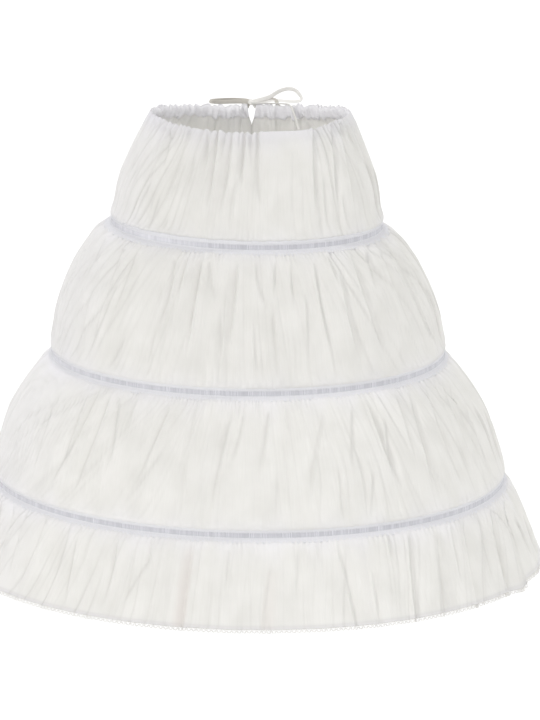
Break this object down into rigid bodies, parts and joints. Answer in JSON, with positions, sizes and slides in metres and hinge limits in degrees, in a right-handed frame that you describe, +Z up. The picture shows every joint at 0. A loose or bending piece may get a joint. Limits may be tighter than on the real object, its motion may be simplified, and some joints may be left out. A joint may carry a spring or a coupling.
{
  "type": "child's hoop petticoat",
  "caption": "Child's white gathered petticoat, filled out and hollow, with a flat hoop at each tier seam, a drawstring waist tied at the back and a lace hem.",
  "frame": {"origin": "the middle of the waist opening, to within 2 mm, at the height of the drawstring at its sides, where the wearer's waist holds the petticoat up", "axes": "+Z up along the skirt's upright axis, out of the waist; the front looks along -Y, the slit and bow are on +Y; +X is to the right seen from the front"},
  "size_m": [0.6389, 0.637, 0.4996],
  "materials": {
    "cotton_voile": "thin crinkled plain-weave cotton, matte warm white",
    "channel_tape": "thin sheer woven tape, cool white",
    "hoop_strip": "flat plastic-covered strip, pale grey",
    "hem_lace": "narrow cotton picot lace, white",
    "string_tape": "narrow flat cotton tape, off-white"
  },
  "bodies": {
    "root": {"tier_1": "cotton_voile", "tier_2_front": "cotton_voile", "tier_2_back": "cotton_voile", "tier_3_front": "cotton_voile", "tier_3_back": "cotton_voile", "tier_4_front": "cotton_voile", "tier_4_back": "cotton_voile", "waist_casing": "channel_tape", "hoop_1_tape": "channel_tape", "hoop_2_tape": "channel_tape", "hoop_3_tape": "channel_tape", "hoop_1": "hoop_strip", "hoop_2": "hoop_strip", "hoop_3": "hoop_strip", "hem_lace_front": "hem_lace", "hem_lace_back": "hem_lace", "string_lead_left": "string_tape", "string_lead_right": "string_tape", "bow_knot": "string_tape", "bow_loop_left": "string_tape", "bow_loop_right": "string_tape", "string_tail_short": "string_tape", "string_tail_long": "string_tape"}
  },
  "joints": []
}
